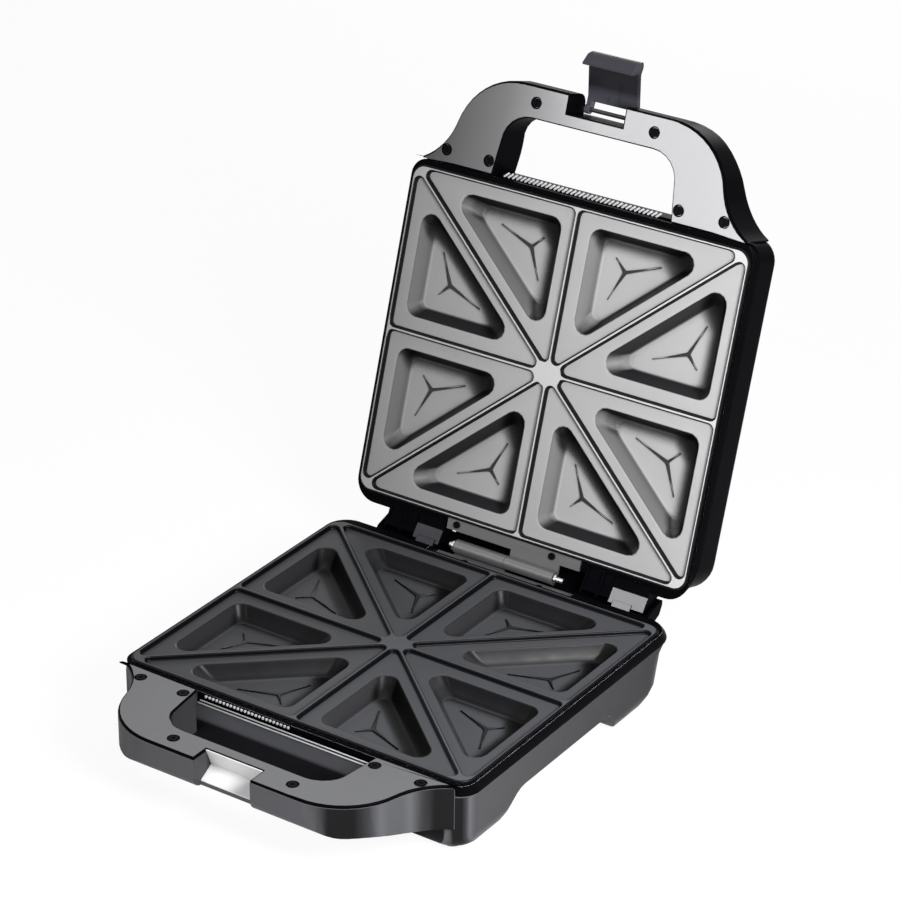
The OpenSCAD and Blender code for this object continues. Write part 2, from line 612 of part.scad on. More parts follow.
// hinge: one rolled knuckle on each leaf, both on one pin
knuckle_split = -2.5;
knuckle_ends = [-43, 36.5];
leaf_half = 55;
leaf_t = 1.4;
lower_leaf_top = hinge_z - knuckle_r + 0.11;
module knuckle(x0, x1, bore) {
    translate([x0, hinge_y, hinge_z]) rotate([0, 90, 0]) difference() {
        cylinder(h = x1 - x0, r = knuckle_r);
        translate([0, 0, -1]) cylinder(h = x1 - x0 + 2, r = bore);
    }
}
module hinge_bore(bore) {
    translate([-90, hinge_y, hinge_z]) rotate([0, 90, 0]) cylinder(h = 180, r = bore);
}
module lower_hinge_leaf() color(steel) place_base() {
    knuckle(knuckle_ends[0], knuckle_split - knuckle_gap / 2, hinge_pin_d / 2);
    difference() {
        union() {
            translate([-leaf_half, hd + 3, lower_leaf_top - leaf_t]) cube([2 * leaf_half, 10, leaf_t]);
            translate([knuckle_ends[0], hd + 12, lower_leaf_top - leaf_t])
                cube([knuckle_split - knuckle_gap / 2 - knuckle_ends[0], hinge_back - 12, leaf_t]);
        }
        for (x = leaf_screw_x) peg([x, leaf_screw_y], screw_d / 2, -30, 9);
    }
}
module lower_leaf_screws() color(dark) place_base() for (x = leaf_screw_x)
    translate([x, leaf_screw_y, lower_leaf_top]) screw(screw_d, 5.6, 1.4, 9);
upper_screw_at = [[-47.3, hd + 3.7], [29.8, hd + 3.7]];
module upper_hinge_leaf() color(steel) place_lid() {
    knuckle(knuckle_split + knuckle_gap / 2, knuckle_ends[1], hinge_pin_d / 2 + pin_fit);
    difference() {
        union() {
            translate([-leaf_half, hd + 0.6, plate_gap]) cube([2 * leaf_half - 3, 7.4, leaf_t]);
            translate([knuckle_split + knuckle_gap / 2, hd + 7, plate_gap])
                cube([knuckle_ends[1] - knuckle_split - knuckle_gap / 2, hinge_back - 9, leaf_t]);
        }
        for (p = upper_screw_at) peg(p, screw_d / 2, -9, 9);
        hinge_bore(hinge_pin_d / 2 + 1);
    }
}
module upper_leaf_screws() color(dark) place_lid() for (p = upper_screw_at)
    translate([p[0], p[1], plate_gap]) mirror([0, 0, 1]) screw(screw_d, 5, 1.2, 7);
module hinge_pin() color(bright) place_base() translate([knuckle_ends[0] - 5, hinge_y, hinge_z]) rotate([0, 90, 0])
    cylinder(h = knuckle_ends[1] - knuckle_ends[0] + 12, r = hinge_pin_d / 2);
module hinge_clips() color(bright) place_base() for (x = [knuckle_ends[0] - 2.2, knuckle_ends[1] + 0.8])
    translate([x, hinge_y, hinge_z]) rotate([0, 90, 0]) difference() {
        cylinder(h = 1.4, r = hinge_pin_d / 2 + 1.8);
        translate([0, 0, -1]) cylinder(h = 4, r = hinge_pin_d / 2);
    }

// lid housing with two rear lobes that close the hinge side, each half recess, half block
lid_rear = hd + 3.5;
lid_rim = plate_gap - rim_z;
function lid_ring(z, s, t) = [z, frame_ring(body_half - 0.5 - s - t, front_y + s + t, lid_rear - s - t,
    corner_front - t, corner_rear - 4 - t)];
module lid_block(t) {
    r = lid_edge_r;
    loft(concat(
        [lid_ring(t > 0 ? lid_rim - 1 : lid_rim, 0, t)],
        [for (a = [0:18:90]) lid_ring(lid_h - t - r + r * sin(a), r * (1 - cos(a)), t)]));
}
lobes = [[-78, -57], [80, 107]];
recesses = [[-103, -78], [57, 80]];
module lobe(x0, x1, cut) {
    translate([x0, 0, 0]) rotate([90, 0, 90]) linear_extrude(height = x1 - x0) polygon([
        [lid_rear - 6, lid_rim + 1], [lid_rear - 0.5, lid_rim + 1], [lid_rear - 0.5, plate_gap + 0.4 + cut],
        [hinge_y - 6.7, plate_gap - 0.7 + cut], [hinge_y + 2.8 - cut, hinge_z - 1.8 + cut / 2],
        [hinge_y - 0.2 - cut, hinge_z + 3.6], [hinge_y - 4.7 - cut, hinge_z + 13.6],
        [hinge_y - 9.7 - cut, hinge_z + 21.6], [lid_rear - 2, 28], [lid_rear - 6, 28]]);
}
// stop lugs: with the lid open they rest on the slope behind the lower plate
function slope_at(u) = let (a = [bezel_rear, bezel_top], d = [rear_y, rim_z] - a, n = [-d[1], d[0]] / norm(d))
    a + u * d + 0.3 * n;
module stop_lug(x0, x1) {
    translate([x0, hinge_y, hinge_z]) rotate([open_angle, 0, 0]) translate([0, -hinge_y, -hinge_z])
        rotate([90, 0, 90]) linear_extrude(height = x1 - x0) polygon([
            slope_at(0.52), slope_at(0.95), [hinge_y + 1.8, hinge_z - 4.8], [hinge_y + 2.3, hinge_z - 0.4],
            [hinge_y - 2.2, hinge_z + 0.2]]);
}
lens_at = [9, -hd + 19];
lens_r = 3.5;
pan_far = plate_gap - (bar_top - bar_t - 0.1 - 0.5);
module lid_shell() color(black) place_lid() {
    difference() {
        union() {
            difference() {
                lid_block(0);
                lid_block(lid_wall);
            }
            flip() handle_skirt(lid_wall);
            for (l = lobes) lobe(l[0], l[1], 0);
            for (l = recesses) lobe(l[0], l[1], 2.2);
            for (l = recesses) for (x = [l[0], l[0] + 12.5]) lobe(x, x + 1.6, 0.3);
            stop_lug(84, 98);
            stop_lug(-74, -60);
            // posts that keep the reflector down
            for (x = [-92, 92], y = [-78, 78]) peg([x * hw / 132, y * hd / 115.5], 4, pan_far + 0.1, lid_h - 1);
        }
        translate([-notch_half, handle_front - 9, -9]) cube([2 * notch_half, notch_depth + 9, 60]);
        translate([-notch_half - 3.6, latch_y, latch_z]) rotate([0, 90, 0])
            cylinder(h = 2 * notch_half + 7.2, r = latch_pin_d / 2);
        for (s = [-1, 1]) peg([s * lens_at[0], lens_at[1]], lens_r + 0.05, lid_inner - 5, lid_h + 1);
    }
}
module lid_bezel() color(black) place_lid() difference() {
    flip() bezel(bezel_rear, lid_rear + 0.5);
    for (l = concat(lobes, recesses)) translate([l[0] - 0.3, lid_rear - 0.8, -9]) cube([l[1] - l[0] + 0.6, 30, 30]);
    for (p = upper_screw_at) peg(p, screw_d / 2, -9, lid_rim - 1);
}
module lid_handle_cover() color(silver) place_lid() flip() cover_plate();
module lid_cover_screws() color(dark) place_lid() flip() cover_screws();
module upper_plate() color(plate_grey) place_lid() flip() plate();
module upper_plate_screws() color(steel) place_lid() flip() {
    seat = bar_top - bar_t - 0.1 - 0.5;
    for (s = [-1, 1]) {
        translate([s * boss_x, 0, seat]) mirror([0, 0, 1]) screw(plate_screw_d, 7.6, 2.4, 9);
        translate([0, s * boss_y, seat]) mirror([0, 0, 1]) screw(plate_screw_d, 7.6, 2.4, 9);
    }
}
module upper_element() color(steel) place_lid() flip() element();
module upper_clamp_bar() color(steel) place_lid() flip() clamp_bar();
module reflector() color(bright) place_lid() flip() pan(bar_top - bar_t - 0.1, 0.5, 6, plate_screw_d / 2 + 0.05);
module lens(s) {
    translate([s * lens_at[0], lens_at[1], lid_inner]) cylinder(h = lid_wall + 0.2, r = lens_r);
    translate([s * lens_at[0], lens_at[1], lid_h + 0.1]) intersection() {
        translate([0, 0, 1 - 8]) sphere(r = 8);
        cylinder(h = 3, r = lens_r + 0.6);
    }
}
module red_lens() color(red) place_lid() lens(-1);
module green_lens() color(green) place_lid() lens(1);
module indicator_lamps() color(bright) place_lid() for (s = [-1, 1])
    peg([s * lens_at[0], lens_at[1]], 2.8, lid_inner - 7.5, lid_inner - 0.1);

// latch, drawn hanging from its pin at Y 0, Z 0
module latch_body() {
    n = -latch_len;
    across(latch_half) polygon([[-latch_back - latch_t, n + 8], [-latch_back, n + 8], [-latch_back, -4.8], [-latch_back - latch_t, -4.8]]);
    across(latch_half) polygon([
        [-latch_back - latch_t, n + 8.8], [-head_out, n + 4.3], [-head_out, n + 1.5], [-head_out + 1.4, n],
        [-0.6, n], [6.3, n + 4], [6.3, n + 5.4], [-latch_back, n + 7.3]]);
    pair() translate([latch_half - 3.5, 0, 0]) rotate([90, 0, 90]) linear_extrude(height = 3.5) difference() {
        union() {
            circle(r = 3.2);
            polygon([[-latch_back - latch_t, -9], [-latch_back, -9], [0, -3.1], [3, -1], [0, 3.1], [-3.6, 1.4], [-latch_back - latch_t, -3.6]]);
        }
        circle(r = latch_pin_d / 2 + pin_fit);
    }
    translate([-1, -latch_back + 0.8, -9]) rotate([90, 0, 0]) cylinder(h = 1, r = 1.7);
    translate([6, -latch_back - 0.1, -22]) cube([1, 0.7, 15]);
}
module latch() color(black) place_lid() translate([0, latch_y, latch_z]) rotate([-latch_rest, 0, 0]) latch_body();
module latch_pin() color(dark) place_lid() translate([-notch_half - 3.5, latch_y, latch_z]) rotate([0, 90, 0])
    cylinder(h = 2 * notch_half + 7, r = latch_pin_d / 2);

base_shell();
base_bezel();
hinge_guard();
guard_screws();
base_handle_cover();
base_cover_screws();
catch_plate();
lower_plate();
lower_plate_screws();
lower_element();
lower_clamp_bar();
heat_shield();
thermostat();
thermal_fuse();
terminal_block();
terminal_screws();
earth_tag();
rubber_feet();
cord_gland();
lower_hinge_leaf();
lower_leaf_screws();
hinge_pin();
hinge_clips();
lid_shell();
lid_bezel();
lid_handle_cover();
lid_cover_screws();
upper_plate();
upper_plate_screws();
upper_element();
upper_clamp_bar();
reflector();
upper_hinge_leaf();
upper_leaf_screws();
red_lens();
green_lens();
indicator_lamps();
latch_pin();
latch();
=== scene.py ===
import json
import math
import bpy
from mathutils import Matrix, Vector


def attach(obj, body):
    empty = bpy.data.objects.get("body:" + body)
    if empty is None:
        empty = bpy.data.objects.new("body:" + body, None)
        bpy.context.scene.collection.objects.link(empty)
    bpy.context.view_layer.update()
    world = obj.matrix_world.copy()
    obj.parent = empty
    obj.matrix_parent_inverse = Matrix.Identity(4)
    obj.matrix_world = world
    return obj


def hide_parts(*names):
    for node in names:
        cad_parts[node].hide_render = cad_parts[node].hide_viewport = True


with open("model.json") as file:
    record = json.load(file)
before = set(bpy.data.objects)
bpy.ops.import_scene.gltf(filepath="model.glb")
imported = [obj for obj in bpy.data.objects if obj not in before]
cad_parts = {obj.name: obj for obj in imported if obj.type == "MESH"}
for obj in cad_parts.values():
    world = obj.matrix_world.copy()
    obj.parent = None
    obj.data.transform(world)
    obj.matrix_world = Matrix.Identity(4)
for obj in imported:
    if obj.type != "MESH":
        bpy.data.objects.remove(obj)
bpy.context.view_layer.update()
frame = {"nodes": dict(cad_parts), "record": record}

nodes = frame["nodes"]
slot_of = {s["node"]: s["material_slot"] for s in frame["record"]["subparts"]}
body_of = {n: b for b, names in frame["record"]["behaviour"]["bodies"].items() for n in names}

# Laid out as in the CAD source: plate centre at X 0, Y 0, rib tops of the lower plate at Z 0,
# lid shut. Vectors are in metres, plain numbers in millimetres. SET_DOWN moves to the row's frame.
MM = 0.001
SET_DOWN = Vector((0.0, -34.36, 50.0)) * MM
HINGE = Vector((0.0, 132.7, -1.66)) * MM
OPEN_ANGLE = math.radians(107.16)
LATCH_REST = math.radians(72.6)
LATCH_AXIS = Vector((0.0, -176.5, 21.3)) * MM
PLATE_W, PLATE_D = 264.0, 231.0
HALF_W, HALF_D = PLATE_W / 2, PLATE_D / 2
PLATE_GAP = 1.0
LAND_Z, FLOOR_Z = -3.0, -14.0

base_place = Matrix.Translation(SET_DOWN)
lid_place = (base_place @ Matrix.Translation(HINGE) @ Matrix.Rotation(-OPEN_ANGLE, 4, "X")
             @ Matrix.Translation(-HINGE))
lid_flip = lid_place @ Matrix.Translation((0, 0, PLATE_GAP * MM)) @ Matrix.Scale(-1, 4, (0, 0, 1))
lid_turn = lid_place.to_3x3()
latch_place = lid_place @ Matrix.Translation(LATCH_AXIS) @ Matrix.Rotation(-LATCH_REST, 4, "X")
lid_home, latch_home = lid_place.inverted(), latch_place.inverted()

# the way each plate looks, and a point on its rib tops
BASE_FACING = Vector((0, 0, 1))
lid_facing = (lid_turn @ Vector((0, 0, -1))).normalized()
lower_top = base_place @ Vector((0, 0, 0))
upper_top = lid_place @ Vector((0, 0, PLATE_GAP * MM))


# ---------- camera ----------

def set_camera():
    azimuth, elevation, roll = math.radians(33.95), math.radians(27.02), math.radians(0.58)
    distance, focal_px, frame_px = 2436.26 * MM, 3384.42, 900.0
    target = Vector((-126.08, 246.72, 0.0)) * MM + SET_DOWN
    back = Vector((math.sin(azimuth) * math.cos(elevation),
                   -math.cos(azimuth) * math.cos(elevation), math.sin(elevation)))
    level = Vector((math.cos(azimuth), math.sin(azimuth), 0.0))
    upright = back.cross(level)
    right = math.cos(roll) * level + math.sin(roll) * upright
    up = -math.sin(roll) * level + math.cos(roll) * upright
    data = bpy.data.cameras.new("camera")
    data.sensor_width = 36.0
    data.lens = data.sensor_width * focal_px / frame_px
    data.clip_start, data.clip_end = 0.1, 20.0
    camera = bpy.data.objects.new("camera", data)
    bpy.context.collection.objects.link(camera)
    spot = target + back * distance
    camera.matrix_world = Matrix((
        (right.x, up.x, back.x, spot.x), (right.y, up.y, back.y, spot.y),
        (right.z, up.z, back.z, spot.z), (0, 0, 0, 1)))
    bpy.context.scene.camera = camera


# ---------- materials ----------

def grey(value):
    return (value,) * 3


def scaled(colour, factor):
    return tuple(c * factor for c in colour)


class Shader:
    """A Principled material with its nodes laid out as they are added."""

    def __init__(self, name, colour, roughness, metallic=0.0, **sockets):
        self.material = bpy.data.materials.new(name)
        self.material.use_nodes = True
        self.tree = self.material.node_tree
        self.surface = self.tree.nodes["Principled BSDF"]
        self.coords = self.add("ShaderNodeTexCoord")
        self.colour = colour
        self.set("Base Color", (*colour, 1.0))
        self.set("Roughness", roughness)
        self.set("Metallic", metallic)
        for socket, value in sockets.items():
            self.set(socket.replace("_", " "), value)

    def add(self, kind, **settings):
        node = self.tree.nodes.new(kind)
        node.location = (-220 * len(self.tree.nodes), 0)
        for key, value in settings.items():
            setattr(node, key, value)
        return node

    def set(self, socket, value):
        self.surface.inputs[socket].default_value = value

    def link(self, a, b):
        self.tree.links.new(a, b)

    def paint(self, colour):
        self.link(colour, self.surface.inputs["Base Color"])

    def noise(self, scale, detail=3.0):
        """Noise in object space; scale is in cells per metre, one number or one for each axis."""
        mapping = self.add("ShaderNodeMapping")
        mapping.inputs["Scale"].default_value = scale if isinstance(scale, (list, tuple)) else grey(scale)
        self.link(self.coords.outputs["Object"], mapping.inputs["Vector"])
        node = self.add("ShaderNodeTexNoise")
        node.inputs["Scale"].default_value = 1.0
        node.inputs["Detail"].default_value = detail
        self.link(mapping.outputs["Vector"], node.inputs["Vector"])
        return node.outputs["Fac"]

    def ramp(self, factor, stops):
        """Colour ramp; a stop is a place with a colour or with one grey value."""
        node = self.add("ShaderNodeValToRGB")
        elements = node.color_ramp.elements
        while len(elements) < len(stops):
            elements.new(0.5)
        for element, (place, colour) in zip(elements, stops):
            element.position = place
            element.color = (*(grey(colour) if isinstance(colour, float) else colour), 1.0)
        self.link(factor, node.inputs["Fac"])
        return node.outputs["Color"]

    def range(self, factor, low, high, start, end):
        """The stretch from start to end mapped to low and high."""
        node = self.add("ShaderNodeMapRange")
        for socket, value in (("From Min", start), ("From Max", end), ("To Min", low), ("To Max", high)):
            node.inputs[socket].default_value = value
        self.link(factor, node.inputs["Value"])
        return node.outputs["Result"]

    def reach(self, socket, direction, start, end):
        """How far a coordinate or normal goes along a direction: 0 at start, 1 at end."""
        node = self.add("ShaderNodeVectorMath", operation="DOT_PRODUCT")
        node.inputs[1].default_value = direction
        self.link(self.coords.outputs[socket], node.inputs[0])
        return self.range(node.outputs["Value"], 0.0, 1.0, start, end)

    def shelter(self, side, distance, tilt=1.5, rays=24):
        """How open a spot is towards one side, used for painted shadow: low in the lee of a wall, one in
        the open.
        """
        lean = self.add("ShaderNodeVectorMath", operation="ADD")
        lean.inputs[1].default_value = Vector(side) * tilt
        self.link(self.coords.outputs["Normal"], lean.inputs[0])
        to_world = self.add("ShaderNodeVectorTransform", vector_type="NORMAL", convert_from="OBJECT",
                            convert_to="WORLD")
        self.link(lean.outputs["Vector"], to_world.inputs["Vector"])
        node = self.add("ShaderNodeAmbientOcclusion", samples=rays, only_local=True)
        node.inputs["Distance"].default_value = distance
        self.link(to_world.outputs["Vector"], node.inputs["Normal"])
        return node.outputs["AO"]

    def blend(self, factor, first, second, kind="MIX"):
        node = self.add("ShaderNodeMix", data_type="RGBA", blend_type=kind)
        for value, socket in ((factor, 0), (first, 6), (second, 7)):
            if isinstance(value, float):
                node.inputs[socket].default_value = value
            else:
                self.link(value, node.inputs[socket])
        return node.outputs[2]

    def times(self, first, second):
        return self.blend(1.0, first, second, "MULTIPLY")

    def tone(self, factor, spread, start=0.3, end=0.7):
        """Colour that wanders by spread round the base colour."""
        low = scaled(self.colour, 1 - spread)
        high = [min(1.0, c) for c in scaled(self.colour, 1 + spread)]
        self.paint(self.ramp(factor, [(start, low), (end, high)]))

    def rough(self, factor, low, high):
        self.link(self.range(factor, low, high, 0.3, 0.7), self.surface.inputs["Roughness"])

    def bump(self, factor, depth, strength=0.6):
        node = self.add("ShaderNodeBump")
        node.inputs["Strength"].default_value = strength
        node.inputs["Distance"].default_value = depth
        self.link(factor, node.inputs["Height"])
        self.link(node.outputs["Normal"], self.surface.inputs["Normal"])

    def moulded(self, low, high, fineness=1900, depth=0.00003):
        """Gloss that drifts between two roughness values, over a fine even grain."""
        self.rough(self.noise(60, 5.0), low, high)
        self.bump(self.noise(fineness, 2.0), depth)
        return self.material


def grain(name, colour, roughness, fineness, depth, tone=0.06, metallic=0.0, **sockets):
    """Moulded or sprayed finish: fine even grain, slight drift in tone and gloss."""
    s = Shader(name, colour, roughness, metallic, **sockets)
    s.tone(s.noise(28, 4.0), tone)
    return s.moulded(roughness - 0.02, roughness + 0.03, fineness, depth)


def brushed(name, colour, roughness, along="X", metallic=1.0, tone=0.10):
    """Metal with fine lines along one axis."""
    across_lines, along_lines = 2600.0, 26.0
    s = Shader(name, colour, roughness, metallic)
    lines = s.noise([along_lines if axis == along else across_lines for axis in "XYZ"])
    s.tone(lines, tone)
    s.rough(lines, roughness - 0.07, roughness + 0.08)
    s.bump(lines, 0.00002, 0.35)
    return s.material


def lens_glass(name, colour):
    """Clear moulding with fine rings."""
    s = Shader(name, colour, 0.12, Transmission_Weight=0.35, IOR=1.49)
    rings = s.add("ShaderNodeTexWave", wave_type="RINGS", rings_direction="SPHERICAL")
    rings.inputs["Scale"].default_value = 900.0
    s.link(s.coords.outputs["Object"], rings.inputs["Vector"])
    s.tone(rings.outputs["Fac"], 0.12, 0.0, 1.0)
    return s.material


def plate_coating_painted_shade(name, facing, lit_side, lee_side, rib_top, land, wall, lit_wall, roughness):
    """Non-stick coating with painted shade: pale lands and floors, rib sides painted dark, rib tops with a
    painted highlight, and pocket walls painted from near black to mid grey by how they turn to the lit
    side. Depth is read below the rib tops."""
    s = Shader(name, land, roughness, Specular_IOR_Level=0.08, Coat_Weight=0.02, Coat_Roughness=0.3)
    deepest, land_depth = 16.0, -LAND_Z
    start = rib_top.dot(facing)
    depth = s.reach("Object", facing, start, start - deepest * MM)
    # Rib tops lighter as a painted highlight; rib sides near black as painted shade.
    rib_top_highlight = scaled(land, 1.3)
    ribs = s.ramp(depth, [(0.0, rib_top_highlight), (0.015 / deepest, rib_top_highlight), (0.06 / deepest, wall),
                          ((land_depth - 0.03) / deepest, wall), ((land_depth - 0.005) / deepest, land),
                          (1.0, land)])
    # Pocket walls painted by how they turn to the lit side: painted shade where they turn away, painted
    # light where they face it.
    turn = s.reach("Normal", lit_side, -1.0, 1.0)
    walls = s.ramp(turn, [(0.05, wall), (0.60, scaled(wall, 1.5)), (0.78, scaled(lit_wall, 0.20)),
                          (0.92, scaled(lit_wall, 0.80)), (1.0, lit_wall)])
    steep = s.reach("Normal", facing, 0.965, 0.66)
    inside = s.range(depth, 0.0, 1.0, land_depth / deepest, (land_depth + 0.05) / deepest)
    share = s.add("ShaderNodeMath", operation="MULTIPLY")
    s.link(steep, share.inputs[0])
    s.link(inside, share.inputs[1])
    # Wall colours mixed in on the steep faces inside the pockets, carrying the painted shade.
    coat = s.blend(share.outputs["Value"], ribs, walls)
    cloud = s.ramp(s.noise(26, 4.0), [(0.3, 0.94), (0.7, 1.0)])
    # Painted falloff of light: the coating darker towards minus X.
    across = s.ramp(s.reach("Object", (1, 0, 0), -0.13, 0.13), [(0.0, 0.70), (0.45, 1.0), (1.0, 1.06)])
    # Painted shadow in the lee of the pocket walls, from a sideways ambient occlusion.
    lee = s.ramp(s.shelter(lee_side, 0.018), [(0.36, 0.006), (0.51, 0.10), (0.62, 1.0)])
    s.paint(s.blend(inside, s.times(coat, s.times(cloud, across)), lee, "MULTIPLY"))
    s.rough(s.noise(70, 4.0), roughness - 0.05, roughness + 0.06)
    s.bump(s.noise(1500, 2.0), 0.00005, 0.5)
    return s.material


def base_plastic_painted_light():
    """Gloss plastic of the lower housing, with painted reflection banding round the bends of the skirt,
    and painted shade darker towards the rear and on faces turned to the rear.
    """
    s = Shader("base_body_plastic", (0.075, 0.076, 0.082), 0.34, Specular_IOR_Level=0.04)
    # Painted reflection levels by which way the surface turns in plan.
    painted_sheen_levels = ((0.0, 0.085), (0.03, 0.030), (0.12, 0.030), (0.35, 0.085), (0.55, 0.092), (0.64, 0.050),
             (0.70, 0.008), (0.84, 0.006), (0.90, 0.026), (0.945, 0.078), (0.975, 0.060), (1.0, 0.042))
    painted_reflection_bands = s.ramp(s.reach("Normal", (1, 0, 0), -1.0, 1.0),
                   [(place, (v, v * 1.01, v * 1.09)) for place, v in painted_sheen_levels])
    # Painted falloff: darker towards the rear.
    painted_falloff = s.ramp(s.reach("Object", (0, 1, 0), -0.15, 0.10), [(0.0, 0.90), (1.0, 0.34)])
    # Painted shade on faces turned to the rear.
    rear = s.ramp(s.reach("Normal", (0, 1, 0), 0.05, 0.30), [(0.0, 1.0), (1.0, 0.30)])
    s.paint(s.times(s.times(painted_reflection_bands, painted_falloff), rear))
    return s.moulded(0.29, 0.40)


def silver_cover():
    """Silver paint of the lid's grip cover, with painted shade deepening towards the left side and a
    painted highlight on the right.
    """
    s = Shader("silver_grip_paint", (0.60, 0.60, 0.605), 0.36, 0.3, Specular_IOR_Level=0.4)
    # Painted light along X: dark at the left, bright at the right.
    s.paint(s.ramp(s.reach("Object", (1, 0, 0), -0.120, 0.085),
                   [(0.0, (0.045, 0.045, 0.047)), (0.25, (0.12, 0.12, 0.122)), (0.60, (0.36, 0.36, 0.37)),
                    (1.0, (0.34, 0.34, 0.35))]))
    flake = s.noise(5200, 1.0)
    s.rough(flake, 0.30, 0.42)
    s.bump(flake, 0.000012, 0.4)
    return s.material


def latch_plastic():
    """Black gloss with a blue cast, with a painted sheen greyer towards the pivot and over the rolled
    head.
    """
    s = Shader("latch_plastic", (0.010, 0.010, 0.016), 0.24, Specular_IOR_Level=0.12)
    up = latch_place.to_3x3() @ Vector((0, 0, 1))
    pivot_end = (latch_place @ Vector((0, 0, -4 * MM))).dot(up)
    # Painted sheen along the latch, from the pivot end over the head.
    painted_sheen_levels = ((0.0, 0.050), (0.25, 0.034), (0.42, 0.010), (0.78, 0.008), (0.86, 0.020), (1.0, 0.032))
    s.paint(s.ramp(s.reach("Object", up, pivot_end, pivot_end - 0.032),
                   [(place, (v, v, v * 1.25)) for place, v in painted_sheen_levels]))
    return s.moulded(0.18, 0.30, depth=0.00002)


def inner_wall_painted_shade():
    """Wall behind the finger opening: grey near the top, with painted shade sinking it to black low down,
    and dark again at the top edge.
    """
    s = Shader("inner_wall_plastic", (0.075, 0.076, 0.084), 0.36, Specular_IOR_Level=0.04)
    # Painted shade: near black low in the opening, grey above.
    s.paint(s.ramp(s.reach("Object", (0, 0, 1), 0.014, 0.050),
                   [(0.0, (0.003, 0.003, 0.004)), (0.38, (0.004, 0.004, 0.006)),
                    (0.46, (0.062, 0.063, 0.070)), (0.80, (0.078, 0.079, 0.087)),
                    (0.88, (0.006, 0.006, 0.008))]))
    return s.moulded(0.30, 0.42)


def make_finishes():
    return {
        # The two plates carry the same coating, the lower one painted far darker: painted shade.
        "upper_coating": plate_coating_painted_shade(
            "upper_plate_coating", lid_facing, lid_turn @ Vector((0.94, -0.30, 0.0)),
            lid_turn @ Vector((0.74, -0.67, 0.0)), upper_top,
            land=grey(0.27), wall=(0.004, 0.004, 0.005), lit_wall=grey(0.16), roughness=0.42),
        "lower_coating": plate_coating_painted_shade(
            "lower_plate_coating", BASE_FACING, (0.86, 0.50, 0.0), (0.86, 0.50, 0.0), lower_top,
            land=(0.048, 0.049, 0.053), wall=(0.002, 0.002, 0.003), lit_wall=(0.036, 0.036, 0.039),
            roughness=0.36),
        # The pocket rays are near black: painted shade.
        "upper_marks": grain("upper_plate_rays_painted_shade", (0.012, 0.012, 0.013), 0.4, 1500, 0.00003, 0.2,
                             Specular_IOR_Level=0.3),
        "lower_marks": grain("lower_plate_rays_painted_shade", (0.006, 0.006, 0.007), 0.4, 1500, 0.00003, 0.2,
                             Specular_IOR_Level=0.3),
        # Light grey for painted highlights: bezel edge lines, vent teeth and lip beads.
        "edge_grey": grain("edge_painted_highlight", (0.34, 0.34, 0.35), 0.28, 1800, 0.00002, 0.1),
        "base_body": base_plastic_painted_light(),
        "inner_wall_painted_shade": inner_wall_painted_shade(),
        "lid_body": grain("lid_body_plastic", (0.0015, 0.0015, 0.0022), 0.28, 1900, 0.00002, 0.1,
                          Specular_IOR_Level=0.005),
        # A lighter, glossier copy of the black lid plastic for the lid's back: painted light.
        "lid_back_painted_light": grain("lid_back_painted_light", (0.026, 0.026, 0.029), 0.46, 1900, 0.00003, 0.03,
                          Specular_IOR_Level=0.3),
        # Copies of the lid plastic for the hinge lobes: a dim and a bright painted sheen.
        "lobe_dim_painted_sheen": grain("lobe_dim_painted_sheen", (0.022, 0.022, 0.026), 0.3, 1900, 0.00002, 0.15,
                          Specular_IOR_Level=0.2),
        "lobe_bright_painted_sheen": grain("lobe_bright_painted_sheen", (0.17, 0.17, 0.178), 0.3, 1900, 0.00002, 0.15,
                            Specular_IOR_Level=0.2),
        "frame_black": grain("frame_plastic", (0.0015, 0.0015, 0.002), 0.34, 1700, 0.00004, 0.1,
                             Specular_IOR_Level=0.005),
        "base_cover": grain("base_grip_paint", (0.098, 0.099, 0.102), 0.42, 2600, 0.00002, 0.03, 0.1,
                            Specular_IOR_Level=0.3),
        "lid_cover": silver_cover(),
        "latch_black": latch_plastic(),
        "dark_screw": grain("blackened_screw", (0.003, 0.003, 0.004), 0.3, 2200, 0.00001, 0.2,
                            Specular_IOR_Level=0.03),
        "catch_steel": brushed("catch_steel", (0.66, 0.66, 0.665), 0.6, "X", 0.0, 0.015),
        "zinc_screw": brushed("zinc_screw", (0.55, 0.56, 0.58), 0.35),
        "element_steel": brushed("element_steel", (0.30, 0.28, 0.26), 0.42),
        "sheet_steel": brushed("sheet_steel", (0.50, 0.50, 0.51), 0.38, "Y"),
        "bright_sheet": brushed("bright_sheet", (0.78, 0.78, 0.79), 0.25),
        "ceramic": grain("ceramic_body", (0.72, 0.69, 0.62), 0.55, 1200, 0.00005),
        "fuse_metal": brushed("fuse_metal", (0.6, 0.6, 0.61), 0.3, "Y"),
        "brass": brushed("brass_parts", (0.72, 0.52, 0.22), 0.3, "Y"),
        "rubber": grain("foot_rubber", grey(0.012), 0.75, 2200, 0.00006, 0.15),
        "gland_black": grain("bushing_plastic", grey(0.012), 0.5, 1800, 0.00005),
        "hinge_steel": brushed("hinge_steel", (0.12, 0.12, 0.123), 0.40, "X", 0.6, 0.06),
        "pin_steel": brushed("pin_steel", (0.55, 0.55, 0.56), 0.2),
        "latch_pin_steel": brushed("latch_pin_steel", (0.05, 0.05, 0.055), 0.3, "X", 0.8),
        "red_lens": lens_glass("red_lens_glass", (0.55, 0.02, 0.015)),
        "green_lens": lens_glass("green_lens_glass", (0.03, 0.40, 0.08)),
        "lamp_glass": lens_glass("lamp_glass", (0.80, 0.70, 0.55)),
    }


# ---------- modelling helpers ----------

def pick(piece):
    bpy.ops.object.select_all(action="DESELECT")
    piece.select_set(True)
    bpy.context.view_layer.objects.active = piece


def apply_modifier(piece, kind, **settings):
    pick(piece)
    modifier = piece.modifiers.new("shape", kind)
    for key, value in settings.items():
        setattr(modifier, key, value)
    bpy.ops.object.modifier_apply(modifier=modifier.name)


